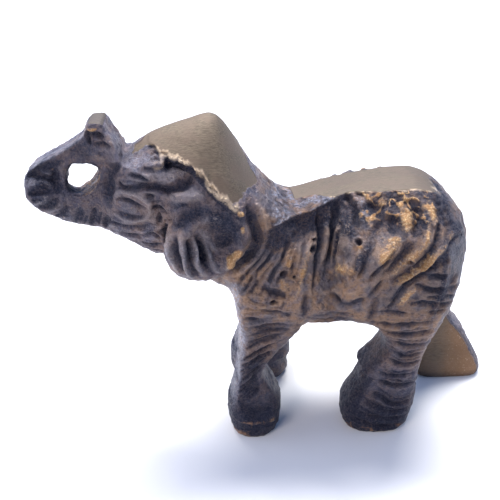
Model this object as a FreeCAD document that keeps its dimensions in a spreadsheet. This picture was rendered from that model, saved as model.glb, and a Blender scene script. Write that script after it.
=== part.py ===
import FreeCAD, Part
import Sketcher
import os

# A small cast-metal elephant that strides with its trunk raised and curled.
# Frame: millimetres, +Z up, soles on Z = 0, head towards -X, its left side towards -Y.
# The origin is under the middle of the overall box. The casting is divided into the parts
# of the body that it is sculpted as, and neighbours meet face to face.

# Widths, measured across from the middle plane unless they say otherwise.
DIMENSIONS = {
    "sole_outer": 12.0,
    "sole_inner": 3.0,
    "shank_outer": 11.4,
    "shank_inner": 3.8,
    "hip_outer": 9.0,
    "hip_inner": 4.6,
    "leg_corner": 2.0,           # cut across the upright corners of the legs
    "trunk_half_width": 3.2,
    "trunk_edge": 1.1,           # chamfer along the trunk
    "ear_root": 7.0,
    "ear_back": 9.6,
    "ear_face": 12.2,
    "ear_dish": 0.9,             # depth of the hollow in the ear's face
    "tail_half_width": 1.4,
}

# Cross-sections of the torso and the head: name, x, lowest z, highest z, half width.
BARREL_STATIONS = {
    "torso": [
        ("chest", -8.6, 24.5, 36.0, 5.5),
        ("shoulder", -3.0, 21.0, 41.0, 10.6),
        ("withers", 4.0, 20.2, 41.6, 11.6),
        ("barrel", 12.0, 20.4, 42.8, 12.0),
        ("loin", 19.5, 19.4, 43.8, 12.0),
        ("croup", 26.5, 18.6, 41.6, 10.8),
        ("rump", 30.6, 22.5, 35.5, 6.5),
    ],
    "head": [
        ("face", -22.6, 35.2, 49.4, 4.4),
        ("brow", -18.0, 32.2, 52.8, 7.4),
        ("crown", -11.2, 30.0, 54.6, 9.0),
        ("nape", -5.4, 28.0, 47.6, 9.2),
        ("neck", 1.0, 26.0, 41.0, 8.4),
    ],
}
# Right half of such a section, from the back down: part of the half width, part of the rise.
SECTION_SHAPE = [(0.34, 1.0), (0.74, 0.89), (1.0, 0.62), (0.99, 0.36), (0.72, 0.08), (0.32, 0.0)]

# Legs: name, z, front x, rear x, upwards from the sole.
LEG_STATIONS = {
    "leg_front_left": [
        ("sole", 0.0, -9.5, -0.1),
        ("toe", 4.0, -9.4, -0.2),
        ("ankle", 13.0, -8.2, -3.2),
        ("knee", 19.0, -7.8, 0.6),
        ("hip", 28.5, -5.0, 3.0),
    ],
    "leg_front_right": [
        ("sole", 0.0, -8.6, 2.3),
        ("toe", 4.0, -8.4, 1.4),
        ("ankle", 13.0, -6.6, -1.5),
        ("knee", 19.0, -6.6, 0.2),
        ("hip", 28.5, -5.0, 3.0),
    ],
    "leg_hind_left": [
        ("sole", 0.0, 11.5, 22.5),
        ("toe", 3.0, 10.4, 22.9),
        ("ankle", 11.0, 12.4, 23.4),
        ("knee", 18.5, 14.4, 24.6),
        ("hip", 28.0, 15.0, 27.5),
    ],
    "leg_hind_right": [
        ("sole", 0.0, 26.5, 40.0),
        ("toe", 4.5, 26.0, 38.4),
        ("ankle", 12.5, 21.5, 32.7),
        ("knee", 18.5, 17.6, 30.4),
        ("hip", 28.0, 16.5, 27.0),
    ],
}
LEG_WIDTHS = {"sole": "sole", "toe": "sole", "ankle": "shank", "knee": "shank", "hip": "hip"}

# Outlines in the X-Z plane, as (x, z) corners in order.
OUTLINES = {
    "trunk_root": [(-22.6, 35.2), (-28.2, 36.6), (-28.2, 49.2), (-22.6, 49.4)],
    "trunk_lower": [(-28.2, 36.6), (-33.4, 38.0), (-33.4, 41.4), (-28.2, 41.4)],
    "trunk_bend": [(-33.4, 38.0), (-37.8, 40.0), (-40.0, 43.2), (-39.7, 45.8), (-36.9, 48.4),
                   (-33.4, 50.0)],
    "trunk_upper": [(-33.4, 47.8), (-33.4, 50.0), (-29.4, 51.6), (-24.6, 51.6), (-24.2, 49.2),
                    (-28.2, 49.2), (-28.2, 47.8)],
    "trunk_tip": [(-29.4, 51.6), (-29.1, 54.6), (-25.8, 54.6), (-24.6, 51.6)],
    "tail": [(27.3, 39.6), (29.2, 39.2), (31.6, 33.4), (32.2, 26.4), (31.0, 19.6), (29.2, 19.6),
             (28.8, 26.4), (26.8, 33.4)],
    "ear_root": [(-14.0, 45.6), (-9.2, 44.6), (-7.6, 40.0), (-9.0, 35.4), (-13.0, 34.4), (-15.4, 39.6)],
    "ear_rim": [(-14.4, 47.2), (-8.4, 46.2), (-5.8, 40.6), (-7.0, 33.8), (-13.4, 31.6), (-17.6, 39.2)],
    "ear_hollow": [(-13.6, 45.2), (-9.4, 44.4), (-7.4, 40.4), (-8.2, 35.4), (-12.8, 33.8), (-15.6, 39.4)],
}


def fill_sheet(document):
    """Puts every driving number in the sheet, each under its own alias."""
    values = dict(DIMENSIONS)
    for label, stations in BARREL_STATIONS.items():
        for name, along, low, high, half_width in stations:
            values[f"{label}_{name}_along"] = along
            values[f"{label}_{name}_low"] = low
            values[f"{label}_{name}_high"] = high
            values[f"{label}_{name}_half_width"] = half_width
    for label, stations in LEG_STATIONS.items():
        for name, height, front, rear in stations:
            values[f"{label}_{name}_height"] = height
            values[f"{label}_{name}_front"] = front
            values[f"{label}_{name}_rear"] = rear
    for label, corners in OUTLINES.items():
        for number, (along, up) in enumerate(corners):
            values[f"{label}_corner_{number}_along"] = along
            values[f"{label}_corner_{number}_up"] = up
    sheet = document.addObject("Spreadsheet::Sheet", "Sizes")
    for row, (alias, value) in enumerate(values.items(), start=1):
        sheet.set(f"A{row}", alias)
        sheet.set(f"B{row}", str(value))
        sheet.setAlias(f"B{row}", alias)
    document.recompute()


def new_body(document, label):
    """An empty body whose label names its file."""
    body = document.addObject("PartDesign::Body", label)
    body.Label = label
    body.Placement = FreeCAD.Placement()
    return body


def closed_sketch(body, name, role, offset, corners):
    """A closed polygon on the body's own origin plane, moved along its normal by offset.

    The corners are pairs of expressions in the plane's two directions.
    """
    plane = next(feature for feature in body.Origin.OriginFeatures if feature.Role == role)
    sketch = body.newObject("Sketcher::SketchObject", name)
    sketch.AttachmentSupport = [(plane, "")]
    sketch.MapMode = "FlatFace"
    sketch.setExpression("AttachmentOffset.Base.z", offset)
    places = [tuple(float(sketch.evalExpression(term)) for term in corner) for corner in corners]
    count = len(places)
    for edge in range(count):
        start = FreeCAD.Vector(*places[edge], 0)
        end = FreeCAD.Vector(*places[(edge + 1) % count], 0)
        sketch.addGeometry(Part.LineSegment(start, end), False)
    for edge in range(count):
        sketch.addConstraint(Sketcher.Constraint("Coincident", edge, 2, (edge + 1) % count, 1))
    for edge, corner in enumerate(corners):
        for kind, term, value in zip(("DistanceX", "DistanceY"), corner, places[edge]):
            index = sketch.addConstraint(Sketcher.Constraint(kind, edge, 1, value))
            sketch.setExpression(f"Constraints[{index}]", term)
    return sketch


def add_loft(body, sketches):
    """Joins the sketches in order with straight rulings."""
    feature = body.newObject("PartDesign::AdditiveLoft", f"{body.Label}_loft")
    feature.Profile = sketches[0]
    feature.Sections = sketches[1:]
    feature.Ruled = True
    return feature


def barrel_section(prefix):
    """Corners round an upright cross-section with a flat back and belly and bulging sides."""
    low, high, half_width = (f"Sizes.{prefix}_{size}" for size in ("low", "high", "half_width"))
    heights = [f"{low} + ({high} - {low}) * {up}" for _, up in SECTION_SHAPE]
    right = [(f"{half_width} * {across}", height) for (across, _), height in zip(SECTION_SHAPE, heights)]
    left = [(f"-({across})", height) for across, height in reversed(right)]
    return right + left


def make_barrel(document, label):
    """A loft along X through upright cross-sections: the torso or the head."""
    body = new_body(document, label)
    sketches = []
    for name, *_ in BARREL_STATIONS[label]:
        prefix = f"{label}_{name}"
        along = f"Sizes.{prefix}_along"
        sketches.append(closed_sketch(body, f"{prefix}_section", "YZ_Plane", along, barrel_section(prefix)))
    add_loft(body, sketches)
    return body


def leg_section(prefix, width, side):
    """Corners round a level cross-section: an oblong with its corners cut off."""
    front, rear = f"Sizes.{prefix}_front", f"Sizes.{prefix}_rear"
    inner, outer = f"{side} * Sizes.{width}_inner", f"{side} * Sizes.{width}_outer"
    cut, cut_across = "Sizes.leg_corner", f"{side} * Sizes.leg_corner"
    return [
        (f"{front} + {cut}", inner),
        (f"{rear} - {cut}", inner),
        (rear, f"{inner} + {cut_across}"),
        (rear, f"{outer} - {cut_across}"),
        (f"{rear} - {cut}", outer),
        (f"{front} + {cut}", outer),
        (front, f"{outer} - {cut_across}"),
        (front, f"{inner} + {cut_across}"),
    ]


def make_leg(document, label):
    """A leg lofted upwards from its flat sole, until it is inside the torso."""
    body = new_body(document, label)
    side = -1 if label.endswith("left") else 1
    sketches = []
    for name, *_ in LEG_STATIONS[label]:
        prefix = f"{label}_{name}"
        corners = leg_section(prefix, LEG_WIDTHS[name], side)
        sketches.append(closed_sketch(body, f"{prefix}_section", "XY_Plane", f"Sizes.{prefix}_height", corners))
    add_loft(body, sketches)
    return body


def outline_corners(label):
    """An outline's corners as expressions."""
    numbers = range(len(OUTLINES[label]))
    return [(f"Sizes.{label}_corner_{number}_along", f"Sizes.{label}_corner_{number}_up") for number in numbers]


def make_slab(document, label, half_width):
    """An outline in the X-Z plane, padded evenly to both sides of the middle plane."""
    body = new_body(document, label)
    pad = body.newObject("PartDesign::Pad", f"{label}_pad")
    pad.Profile = closed_sketch(body, f"{label}_outline", "XZ_Plane", "0", outline_corners(label))
    pad.SideType = "Symmetric"
    pad.setExpression("Length", f"2 * Sizes.{half_width}")
    document.recompute()
    return body


def chamfer_outside(document, body, size):
    """Chamfers a slab's long edges, apart from those where it meets its neighbours."""
    others = [corner for label, corners in OUTLINES.items() if label != body.Label for corner in corners]
    pad = body.Tip
    names = []
    for number, edge in enumerate(pad.Shape.Edges, start=1):
        ends = [(round(vertex.X, 3), round(vertex.Z, 3)) for vertex in edge.Vertexes]
        lies_across = ends[0] == ends[1]
        meets_neighbour = all(end in others for end in ends)
        if not lies_across and not meets_neighbour:
            names.append(f"Edge{number}")
    chamfer = body.newObject("PartDesign::Chamfer", f"{body.Label}_chamfer")
    chamfer.Base = (pad, names)
    chamfer.setExpression("Size", f"Sizes.{size}")
    document.recompute()


def make_ear(document, label):
    """An ear that widens outwards from its root, with a shallow hollow in its face."""
    body = new_body(document, label)
    side = 1 if label.endswith("left") else -1
    planes = (("root", "ear_root", "ear_root"), ("back", "ear_rim", "ear_back"), ("face", "ear_rim", "ear_face"))
    sketches = []
    for name, outline, distance in planes:
        offset = f"{side} * Sizes.{distance}"
        sketches.append(closed_sketch(body, f"{label}_{name}", "XZ_Plane", offset, outline_corners(outline)))
    add_loft(body, sketches)
    document.recompute()
    whole_ear = body.Shape.Volume
    pocket = body.newObject("PartDesign::Pocket", f"{label}_dish")
    offset = f"{side} * Sizes.ear_face"
    pocket.Profile = closed_sketch(body, f"{label}_hollow", "XZ_Plane", offset, outline_corners("ear_hollow"))
    pocket.setExpression("Length", "Sizes.ear_dish")
    pocket.Reversed = side < 0
    document.recompute()
    if body.Shape.Volume > whole_ear - 1.0:
        raise RuntimeError(f"{label}: the hollow cuts nothing")
    return body


def trim(document, label, body, *neighbours):
    """The sub-part itself: body without the space that its neighbours fill."""
    shape = body
    for number, neighbour in enumerate(neighbours):
        cut = document.addObject("Part::Cut", f"{label}_without_{neighbour.Name}")
        cut.Base = shape
        cut.Tool = neighbour
        shape = cut
    shape.Label = label
    document.recompute()
    return shape


def build(document):
    """All the sub-parts, in the order that they are trimmed against each other."""
    fill_sheet(document)
    torso = make_barrel(document, "torso")
    head_form = make_barrel(document, "head")
    head_form.Label = "head_form"
    head = trim(document, "head", head_form, torso)
    parts = [torso, head]
    for label in LEG_STATIONS:
        leg_form = make_leg(document, label)
        leg_form.Label = f"{label}_form"
        neighbours = (torso, head) if "front" in label else (torso,)
        parts.append(trim(document, label, leg_form, *neighbours))
    for label in ("ear_left", "ear_right"):
        ear_form = make_ear(document, label)
        ear_form.Label = f"{label}_form"
        parts.append(trim(document, label, ear_form, head, torso))
    for label in ("trunk_root", "trunk_lower", "trunk_bend", "trunk_upper", "trunk_tip"):
        piece = make_slab(document, label, "trunk_half_width")
        chamfer_outside(document, piece, "trunk_edge")
        parts.append(piece)
    tail_form = make_slab(document, "tail", "tail_half_width")
    tail_form.Label = "tail_form"
    parts.append(trim(document, "tail", tail_form, torso))
    return parts


def check(document, parts):
    """Stops if anything in the document failed, or a sub-part isn't one good solid."""
    for item in document.Objects:
        if "Invalid" in item.State or "Error" in item.State:
            raise RuntimeError(f"{item.Label}: {item.State}")
    for part in parts:
        shape = part.Shape
        if shape.isNull() or not shape.isValid() or len(shape.Solids) != 1:
            raise RuntimeError(f"{part.Label}: not one valid solid")


document = FreeCAD.newDocument("elephant")
parts = build(document)
document.recompute()
check(document, parts)
os.makedirs("parts", exist_ok=True)
for part in parts:
    part.Shape.exportStep(f"parts/{part.Label}.step")
    box = part.Shape.BoundBox
    print(f"{part.Label:16} {part.Shape.Volume:8.1f} mm3   x {box.XMin:6.1f} {box.XMax:6.1f}"
          f"   y {box.YMin:6.1f} {box.YMax:6.1f}   z {box.ZMin:5.1f} {box.ZMax:5.1f}")
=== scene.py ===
import math
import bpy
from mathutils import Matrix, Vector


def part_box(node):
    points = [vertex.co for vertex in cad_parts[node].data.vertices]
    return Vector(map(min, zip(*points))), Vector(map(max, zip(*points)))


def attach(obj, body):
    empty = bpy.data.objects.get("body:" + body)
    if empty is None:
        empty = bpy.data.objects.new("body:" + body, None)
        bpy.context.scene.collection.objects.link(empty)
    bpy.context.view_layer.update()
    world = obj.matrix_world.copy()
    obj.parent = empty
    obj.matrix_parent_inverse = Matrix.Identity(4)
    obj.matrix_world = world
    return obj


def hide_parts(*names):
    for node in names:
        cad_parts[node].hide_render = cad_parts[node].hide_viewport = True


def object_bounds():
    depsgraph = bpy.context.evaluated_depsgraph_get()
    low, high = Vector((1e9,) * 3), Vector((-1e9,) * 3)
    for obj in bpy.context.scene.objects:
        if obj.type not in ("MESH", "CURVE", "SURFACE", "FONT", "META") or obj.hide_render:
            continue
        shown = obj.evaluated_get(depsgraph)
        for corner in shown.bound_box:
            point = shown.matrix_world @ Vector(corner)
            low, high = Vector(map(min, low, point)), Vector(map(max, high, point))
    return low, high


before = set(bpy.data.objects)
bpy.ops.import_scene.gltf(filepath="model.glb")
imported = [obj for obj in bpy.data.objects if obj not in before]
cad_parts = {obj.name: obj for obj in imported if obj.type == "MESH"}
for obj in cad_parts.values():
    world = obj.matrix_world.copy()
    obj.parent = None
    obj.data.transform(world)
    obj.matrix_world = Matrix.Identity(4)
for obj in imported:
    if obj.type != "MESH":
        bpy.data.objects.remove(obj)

from types import SimpleNamespace
import bmesh
import bpy
import numpy as np
import openvdb
from mathutils import Matrix, Vector

# A small elephant of cast brass under a dark patina. The whole casting is sculpted at once, as a
# distance field and then as strokes of relief, and is divided into the frame's nodes afterwards, so
# that the hide runs on from one piece to the next. Sizes are in eightieths of the overall length,
# which is millimetres at the frame's own size.

CAD_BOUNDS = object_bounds()
UNIT = (CAD_BOUNDS[1][0] - CAD_BOUNDS[0][0]) / 80.0      # metres
CELL = 0.205                                             # of the distance field
LOW = np.array([-41.5, -14.5, -1.5])                     # corners of the field
HIGH = np.array([41.5, 14.5, 56.5])
FAR = 1.5                                                # the field is cut off past this distance


# ---------------------------------------------------------------- curves and blends

def curve(points):
    """A smooth function through (place, value) points that doesn't overshoot between them."""
    places, values = np.array(points, float).T
    steps, rises = np.diff(places), np.diff(values)
    slopes = rises / steps
    product, total = slopes[:-1] * slopes[1:], slopes[:-1] + slopes[1:]
    inner = np.where(product > 0, 2 * product / total, 0)
    tangents = np.concatenate([slopes[:1], inner, slopes[-1:]])

    def value(at):
        at = np.clip(at, places[0], places[-1])
        span = np.clip(np.searchsorted(places, at, side="right") - 1, 0, len(steps) - 1)
        step = steps[span]
        t = (at - places[span]) / step
        start = values[span] + t * t * (3 - 2 * t) * rises[span]
        bend = t * (1 - t) * ((1 - t) * tangents[span] - t * tangents[span + 1]) * step
        return start + bend
    return value


def spline(corners, steps=8, closed=False):
    """Points along a smooth line through the corners."""
    corners = np.array(corners, float)
    if closed:
        padded = np.vstack([corners[-1], corners, corners[:2]])
    else:
        padded = np.vstack([2 * corners[0] - corners[1], corners, 2 * corners[-1] - corners[-2]])
    t = np.linspace(0, 1, steps, endpoint=False)[:, None]
    runs = []
    for before, start, end, after in zip(padded[:-3], padded[1:-2], padded[2:-1], padded[3:]):
        square = 2 * before - 5 * start + 4 * end - after
        cube = 3 * start - before - 3 * end + after
        runs.append(0.5 * (2 * start + (end - before) * t + square * t ** 2 + cube * t ** 3))
    if not closed:
        runs.append(corners[-1:])
    return np.vstack(runs)


def blend_min(a, b, k):
    """Union of two fields with a fillet of about k."""
    mix = np.clip(0.5 + 0.5 * (b - a) / k, 0, 1)
    return b + (a - b) * mix - k * mix * (1 - mix)


def blend_max(a, b, k):
    """Intersection of two fields with a rounding of about k."""
    return -blend_min(-a, -b, k)


def oblong(across, up, half_across, half_up, power):
    """Field of a rounded oblong cross-section."""
    radius = (np.abs(across / half_across) ** power + np.abs(up / half_up) ** power) ** (1 / power)
    return (radius - 1) * np.minimum(half_across, half_up)


def outline_distance(outline, x, z):
    """Signed distance to a closed outline in the X-Z plane, negative inside."""
    nearest = np.full(np.broadcast(x, z).shape, 1e9)
    inside = np.zeros(nearest.shape, bool)
    for (ax, az), (bx, bz) in zip(outline, np.roll(outline, -1, axis=0)):
        dx, dz = bx - ax, bz - az
        t = np.clip(((x - ax) * dx + (z - az) * dz) / max(dx * dx + dz * dz, 1e-9), 0, 1)
        nearest = np.minimum(nearest, (x - ax - t * dx) ** 2 + (z - az - t * dz) ** 2)
        crosses = (az > z) != (bz > z)
        inside ^= crosses & (x < ax + (z - az) * dx / (dz if dz else 1e-9))
    return np.where(inside, -1, 1) * np.sqrt(nearest)


# ---------------------------------------------------------------- the grid

def lattice(low, high, cell):
    """The X, Y and Z of a box of sampling places."""
    counts = np.ceil((high - low) / cell).astype(int) + 1
    steps = [start + cell * np.arange(count) for start, count in zip(low, counts)]
    return steps[0][:, None, None], steps[1][None, :, None], steps[2][None, None, :]


X, Y, Z = (steps.astype(np.float32) for steps in lattice(LOW, HIGH, CELL))
COUNTS = X.size, Y.size, Z.size


# ---------------------------------------------------------------- the forms

BACK = curve([(-9, 37.6), (-4, 38.9), (-0.5, 39.7), (2, 40.1), (4, 40.5), (6.5, 41.1), (9, 41.7), (12, 42.4),
              (15, 42.9), (18, 43.3), (20.5, 43.4), (22.7, 43.0), (25.2, 41.7), (27.6, 39.5), (31, 34)])
BELLY = curve([(-10, 27), (-7, 23.8), (-2, 21.1), (4, 20.1), (9, 20.3), (14, 19.2), (20, 17.8), (26, 17.6),
               (32, 20)])
FLANK = curve([(-10, 5.5), (-6, 9.2), (-2, 10.7), (4, 11.5), (12, 11.8), (20, 12.0), (26, 11.6), (30, 10.2),
               (33, 8.0)])
REAR = curve([(14, 28.0), (18, 28.0), (22, 28.4), (24.7, 29.0), (27.1, 29.5), (29.2, 29.9), (31.5, 30.1),
              (34, 29.9), (36.5, 29.3), (38.5, 28.5), (41, 26.9), (44, 24.5)])
CHEST = curve([(17, -7.4), (22, -8.0), (26.5, -9.0), (31, -9.0), (36, -6), (41, -2)])


def back_plane(x, y, z):
    """Field of the filed top of the back."""
    return z - BACK(x) + 0.04 * np.abs(y)


SHOULDER_LEFT = curve([(-4, 5.9), (-1, 5.8), (1, 5.4), (3, 5.1), (4.7, 4.6), (6.2, 3.8), (7.6, 3.0),
                       (9.9, 2.3), (12.1, 2.8), (15, 3.9), (17.1, 4.5), (18.6, 5.1), (30, 5.0)])
SHOULDER_RIGHT = curve([(-4, 3.9), (3, 4.2), (7, 4.6), (12, 4.4), (20, 4.3), (30, 4.0)])
FILED_EDGE = curve([(-3, -1.2), (0.5, -0.7), (3.7, -0.5), (7.5, -2.2), (9.8, -3.3), (12.5, -3.5), (17, -4.4),
                    (30, -5.2)])


def shoulder_plane(x, y, z):
    """Field of the slope that runs down from the top to the flank, steep behind the left ear."""
    half = np.where(y < 0, SHOULDER_LEFT(x), SHOULDER_RIGHT(x))
    steep = np.where(y < 0, 0.35 + 0.65 * ease(-x, -11, -7), 0)
    return (z - BACK(x)) * (0.88 - 0.48 * steep) + (np.abs(y) - half) * (0.48 + 0.44 * steep)


def rump_plane(x, y, z):
    """Field of the bevel between the flank and the rump."""
    return (x - REAR(z) + np.abs(y) - 6.4) * 0.7071


def torso():
    """The barrel, with the back filed flat and a bevel round the rump."""
    top, bottom, wide = BACK(X), BELLY(X), FLANK(X)
    middle, half = (top + bottom) / 2, (top - bottom) / 2
    sides = oblong(Y, Z - middle - 0.6, wide, half + 1.8, 2.7)
    shape = blend_max(sides, bottom - Z, 2.4)
    shape = blend_max(shape, X - REAR(Z) + 0.028 * Y ** 2, 1.2)
    shape = blend_max(shape, rump_plane(X, Y, Z), 0.4)
    shape = blend_max(shape, CHEST(Z) - X, 3.5)
    shape = blend_max(shape, shoulder_plane(X, Y, Z), 0.5)
    return blend_max(shape, back_plane(X, Y, Z), 0.2)


CROWN = curve([(-27, 45.6), (-24.9, 47.2), (-23.7, 48.6), (-22.5, 49.9), (-20.9, 50.9), (-18.9, 51.8),
               (-16.1, 52.8), (-13.8, 53.5), (-12.3, 54.0), (-11.2, 54.2), (-10.2, 53.9), (-9.2, 53.0),
               (-7.8, 51.0), (-6.1, 48.1), (-4.5, 45.5), (-1.8, 42.4), (0.8, 40.3), (4, 37.5)])
THROAT = curve([(-27, 36.5), (-23.7, 35.0), (-20.4, 33.3), (-17, 31.0), (-13, 28.6), (-9, 26.4), (-5, 25),
                (4, 24)])
CHEEK = curve([(-27, 4.6), (-24, 5.6), (-20, 6.9), (-16, 8.0), (-12, 9.0), (-8, 9.5), (-3, 9.6), (4, 9.0)])
BROW_EDGE = curve([(-24, 3.4), (-20, 4.6), (-17, 5.7), (-13.6, 7.1), (-10.8, 8.3), (-8, 9.2), (-4, 9.8),
                   (4, 10)])
BROW_DROP = curve([(-24, 1.2), (-20, 2.0), (-17, 3.2), (-13.6, 5.0), (-12.1, 6.5), (-11, 7.9), (-9.9, 8.3),
                   (-8.5, 7.8), (-6, 6.0), (-4, 4.0), (4, 2)])
RIM = curve([(-20.5, 1.8), (-19.9, 2.5), (-18.6, 4.0), (-17.6, 4.7), (-16, 5.6), (-14.8, 6.3), (-13.4, 7.2),
             (-12.1, 7.8), (-11, 8.4), (-9.9, 8.9), (-8.5, 9.3), (-4, 9.6)])


def crown_plane(x, y, z):
    """Field of the smooth crown that slopes down to the temples."""
    edge, drop = BROW_EDGE(x), BROW_DROP(x)
    slope = CROWN(x) - drop * (np.abs(y) / edge) ** 1.7
    return (z - slope) / np.maximum(np.sqrt(1 + (1.7 * drop / edge) ** 2), 1.15)


def crown_rim(x):
    """How far the crown reaches to each side, with its chips."""
    return RIM(x) + 0.13 * np.sin(3.7 * x) + 0.09 * np.sin(8.9 * x + 1)


def head():
    """The head: a smooth crown that overhangs the temples with a sharp edge, cheeks below it."""
    top, bottom = CROWN(X), THROAT(X)
    rim = top - BROW_DROP(X)
    middle, half = (top + bottom) / 2, (top - bottom) / 2
    wide = CHEEK(X) - (CHEEK(X) - RIM(X) + 0.5) * ease(Z, rim - 4.5, rim - 0.6) * ease(X, -21, -18)
    sides = oblong(Y, Z - middle + 1.0, wide, half + 1.6, 2.5)
    sides = blend_max(sides, bottom - Z, 3.0)
    crown = crown_plane(X, Y, Z)
    shape = blend_max(sides, crown, 0.2 + 0.9 * np.clip((-18.2 - X) / 3, 0, 1))
    shape = blend_max(shape, -27.5 - X, 2.0)
    shape = blend_max(shape, X - 4.0, 2.0)
    cap = blend_max(np.abs(Y) - crown_rim(X), rim - 1.3 - Z, 0.4)
    cap = np.maximum(np.maximum(cap, np.abs(X + 13.2) - 7.0), crown)
    return blend_min(shape, cap, 0.2)


TRUNK_OUTLINE = np.vstack([
    spline([(-20, 33.4), (-23.7, 34.9), (-27, 36.1), (-31, 36.9), (-33.8, 37.7), (-35.9, 38.5), (-37.8, 39.9),
            (-39.1, 41.8), (-39.7, 44.0), (-39.3, 45.4), (-38.0, 46.6), (-36.4, 47.6), (-34.5, 48.5),
            (-32.7, 49.5), (-31.2, 50.5), (-30.0, 51.5)], 5),
    [(-29.6, 52.4), (-29.3, 53.0), (-28.8, 53.5), (-28.0, 53.6), (-27.1, 53.5), (-26.6, 53.0), (-26.2, 52.0),
     (-25.2, 50.4), (-24.2, 48.2), (-22.9, 47.9), (-18, 49), (-16, 44), (-16, 36)],
])
TRUNK_THICK = curve([(-40, 2.9), (-36, 3.3), (-30, 3.3), (-27, 3.7), (-24, 4.7), (-20, 6.2)])
LOOP = spline([(-33.2, 42.9), (-33.2, 45.1), (-32.4, 46.6), (-31.2, 46.7), (-29.4, 46.6), (-28.4, 45.9),
               (-28.6, 44.6), (-29.7, 43.1), (-31.4, 42.1)], 6, closed=True)
LOOP_LEAN = (0.24, 0.2)              # how far the loop moves in X and Z per unit of Y


def trunk():
    """The trunk: a slab on its outline, crisp along the top and rounded below."""
    roundness = 0.4 + 2.0 * np.clip((43 - Z) / 4, 0, 1)
    thinner = 0.95 * ease(Z, 42, 46) * ease(-X, 24, 27)
    slab = np.abs(Y - thinner) - TRUNK_THICK(X) + thinner
    return blend_max(outline_distance(TRUNK_OUTLINE, X, Z), slab, roundness)


def loop_hole():
    """The open loop, which leans as it goes through."""
    flat = outline_distance(LOOP, X, Z)[:, 0, :]
    field = np.empty(COUNTS, np.float32)
    for row, y in enumerate(Y[0, :, 0]):
        moved = []
        for count, lean in zip((COUNTS[0], COUNTS[2]), LOOP_LEAN):
            moved.append(np.clip(np.round(np.arange(count) + lean * y / CELL).astype(int), 0, count - 1))
        field[:, row, :] = flat[np.ix_(*moved)]
    return field


LEGS = {
    "leg_front_left": (
        [(0, -8.4), (2, -9.1), (4, -9.3), (6, -8.9), (10, -7.9), (14, -7.3), (20, -7.1), (27, -7.9),
         (33, -7)],
        [(0, -1.3), (2.2, -0.3), (5.2, -0.1), (8, -1.0), (12.7, -3.3), (14.5, -2.6), (16.6, -1.2), (19, 0.6),
         (22, 3.0), (33, 5)]),
    "leg_front_right": (
        [(0, -7.6), (2, -8.2), (4, -8.3), (6, -7.7), (10, -6.7), (14, -6.3), (20, -6.5), (27, -7.8),
         (33, -7)],
        [(0, 2.0), (1.5, 2.6), (3.0, 2.1), (4.0, 1.8), (4.9, 3.0), (6.2, 2.8), (9, 0.8), (12, -1.0),
         (15, -2.0), (17, -1.9), (19, -0.5), (22, 2.2), (33, 5)]),
    "leg_hind_left": (
        [(0, 11.4), (1.5, 10.8), (3.5, 10.8), (6, 11.8), (8, 12.9), (9.6, 13.6), (11.0, 14.3), (11.8, 13.4),
         (13, 14.4), (15, 16.0), (17, 16.9), (19, 16.6), (21, 15.2), (23, 13.0), (33, 11)],
        [(0, 21.8), (1.5, 22.7), (5.9, 23.3), (11.3, 23.3), (15, 23.5), (18.9, 24.6), (22, 25.6), (25, 27.0),
         (33, 28)]),
    "leg_hind_right": (
        [(0, 27.5), (1.5, 26.6), (4.5, 26.2), (9, 23.8), (12.5, 21.5), (18, 17.6), (24, 14), (33, 12)],
        [(0, 39.6), (1.2, 40.0), (5.3, 38.2), (9.2, 35.8), (12.1, 33.4), (15, 32.0), (18, 30.6), (24, 28.5),
         (33, 27)]),
}
LEG_CURVES = {name: (curve(front), curve(rear)) for name, (front, rear) in LEGS.items()}
LEG_OUTER = curve([(0, 12.0), (0.8, 12.4), (3.5, 12.2), (8, 11.3), (14, 11.1), (20, 11.5), (26, 11.5),
                   (33, 9.5)])
LEG_INNER = curve([(0, 2.8), (1.2, 2.6), (4, 2.6), (8, 3.2), (14, 3.4), (20, 2.8), (33, 2.8)])


def leg(name):
    """A leg, squarer towards its knee than at its sole, filed flat under the sole."""
    side = -1 if name.endswith("left") else 1
    front, rear = LEG_CURVES[name][0](Z), LEG_CURVES[name][1](Z)
    outer, inner = LEG_OUTER(Z), LEG_INNER(Z)
    if name == "leg_hind_right":
        inner = inner - 1.1 * ease(-Z, -7, 0)
    power = np.interp(Z, [0, 4, 10, 20], [2.7, 3.0, 4.2, 4.5] if name != "leg_hind_right" else [5, 5, 5, 5])
    along, across = X - (front + rear) / 2, side * Y - (outer + inner) / 2
    shape = oblong(along, across, (rear - front) / 2, (outer - inner) / 2, power)
    shape = blend_max(shape, -Z, 0.2)
    return blend_max(shape, Z - 31.0, 3.0)


def ellipsoid(center, radii, lean=0.0):
    """An ellipsoid, leaning about Y by that many degrees."""
    turn = math.radians(lean)
    along = (X - center[0]) * math.cos(turn) + (Z - center[2]) * math.sin(turn)
    up = (Z - center[2]) * math.cos(turn) - (X - center[0]) * math.sin(turn)
    radius = np.sqrt((along / radii[0]) ** 2 + ((Y - center[1]) / radii[1]) ** 2 + (up / radii[2]) ** 2)
    return (radius - 1) * min(radii)


def ear(side):
    """An ear, a thick oval that spreads downwards, hollowed in its face."""
    shape = ellipsoid((-11.6, side * 8.6, 38.2), (6.1, 3.9, 7.2), -6)
    lobe = ellipsoid((-13.9, side * 9.3, 35.6), (4.4, 3.0, 4.5), 10)
    shape = blend_min(shape, lobe, 1.0)
    hollow = ellipsoid((-10.6, side * 13.0, 40.2), (4.9, 3.3, 5.2), -6)
    shape = blend_max(shape, -hollow, 0.9)
    return blend_max(shape, crown_plane(X, Y, Z) + 1.5, 0.5)


def sculpt():
    """The whole casting's distance field."""
    field = blend_min(torso(), head(), 1.4)
    field = blend_min(field, trunk(), 1.4)
    field = blend_max(field, -loop_hole(), 0.8)
    for name in LEGS:
        field = blend_min(field, leg(name), 1.3)
    for side in (-1, 1):
        field = blend_min(field, ear(side), 0.4 + 1.8 * np.clip((Z - 38) / 5, 0, 1))
    return field


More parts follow.
